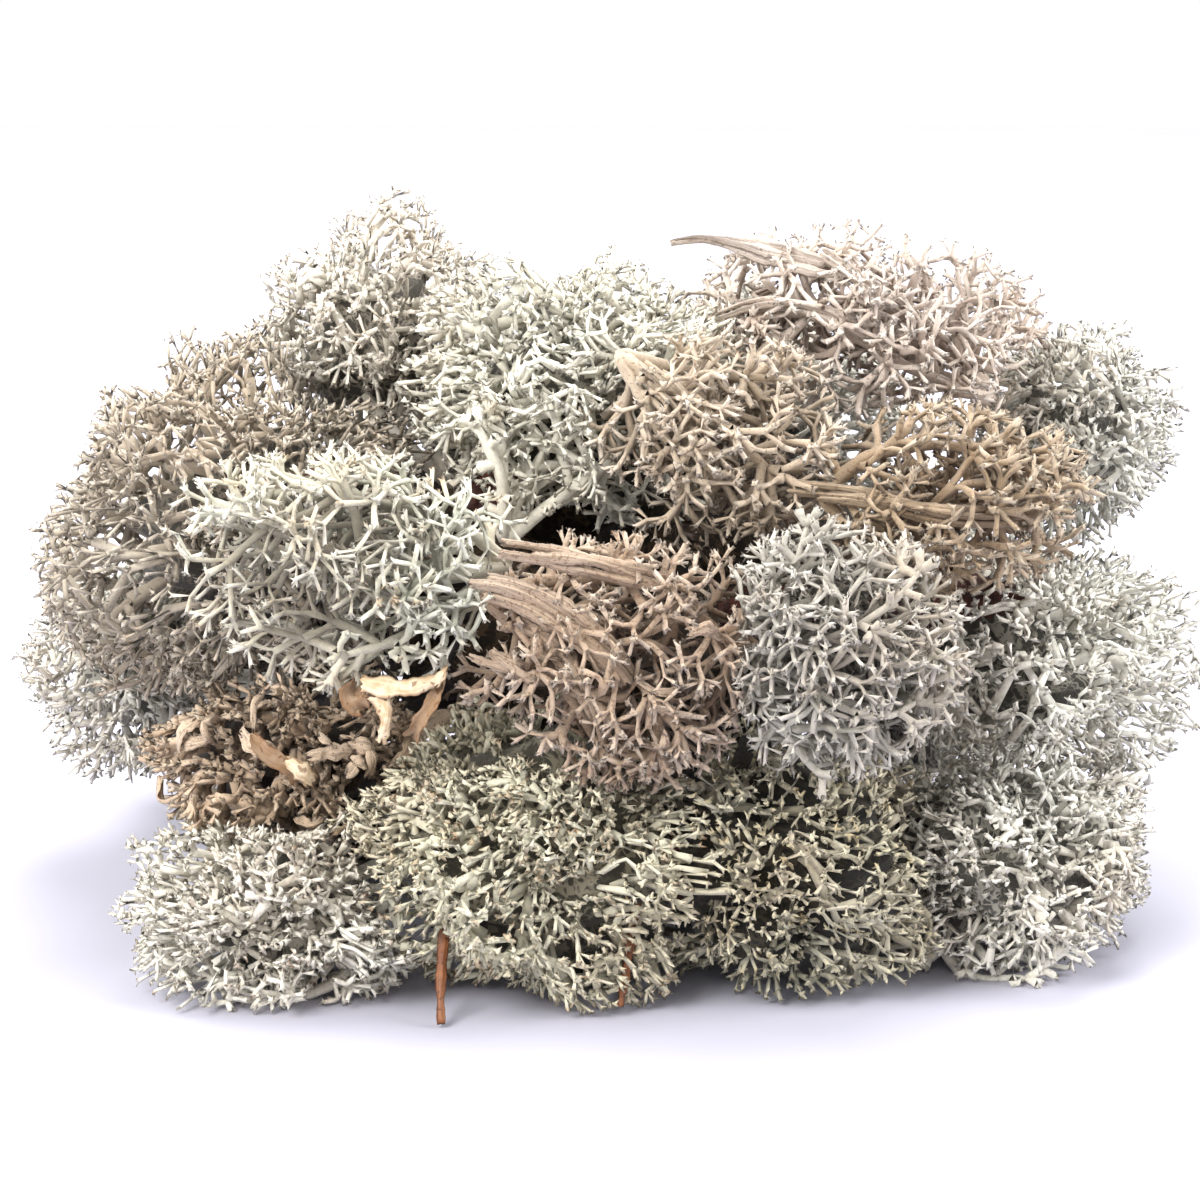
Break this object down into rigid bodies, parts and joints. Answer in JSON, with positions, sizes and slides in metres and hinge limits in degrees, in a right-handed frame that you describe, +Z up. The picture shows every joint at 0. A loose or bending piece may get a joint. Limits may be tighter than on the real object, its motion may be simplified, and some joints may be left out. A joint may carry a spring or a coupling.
{
  "type": "reindeer moss clump",
  "caption": "Loose clump of dried reindeer lichen: finely forked cushions and dead stems heaped together, with scraps of bark and needles, resting on its own branch tips.",
  "frame": {"origin": "middle of the clump's box, on the surface that it lies on", "axes": "+X along the clump's length, to the right seen from its front; +Y to its back; +Z up"},
  "size_m": [0.1524, 0.1089, 0.0891],
  "materials": {
    "pale_lichen": "matt, pale green-grey with cream tips",
    "grey_lichen": "matt, warm grey with brown-grey tips",
    "tan_lichen": "matt, tan dead stems with brown specks",
    "brown_lichen": "matt, dried brown",
    "papery_scrap": "dry papery leaf scrap, light tan",
    "bark": "dark red-brown bark, matt",
    "needle": "dry brown pine needle, satin"
  },
  "bodies": {
    "root": {"front_cushion": "pale_lichen", "low_left_cushion": "pale_lichen", "low_back_left_cushion": "grey_lichen", "brown_left_cushion": "brown_lichen", "grey_left_cushion": "grey_lichen", "far_left_cushion": "pale_lichen", "top_left_cushion": "grey_lichen", "bright_spray": "pale_lichen", "top_middle_cushion": "pale_lichen", "tan_middle_tangle": "tan_lichen", "tan_ridge": "tan_lichen", "tan_right_tangle": "tan_lichen", "tan_top_right": "tan_lichen", "grey_far_right": "pale_lichen", "right_cushion": "grey_lichen", "low_right_cushion": "grey_lichen", "pale_right_spray": "pale_lichen", "low_middle_cushion": "grey_lichen", "middle_back_cushion": "grey_lichen", "back_left_cushion": "grey_lichen", "back_middle_cushion": "tan_lichen", "back_right_cushion": "pale_lichen", "back_top_cushion": "pale_lichen", "heart_cushion": "brown_lichen", "bark_slab": "bark", "bark_chip": "bark", "bark_sliver": "bark", "needle_left": "needle", "needle_right": "needle", "brown_twig": "needle", "curled_scrap": "papery_scrap", "film_scrap": "papery_scrap"}
  },
  "joints": []
}
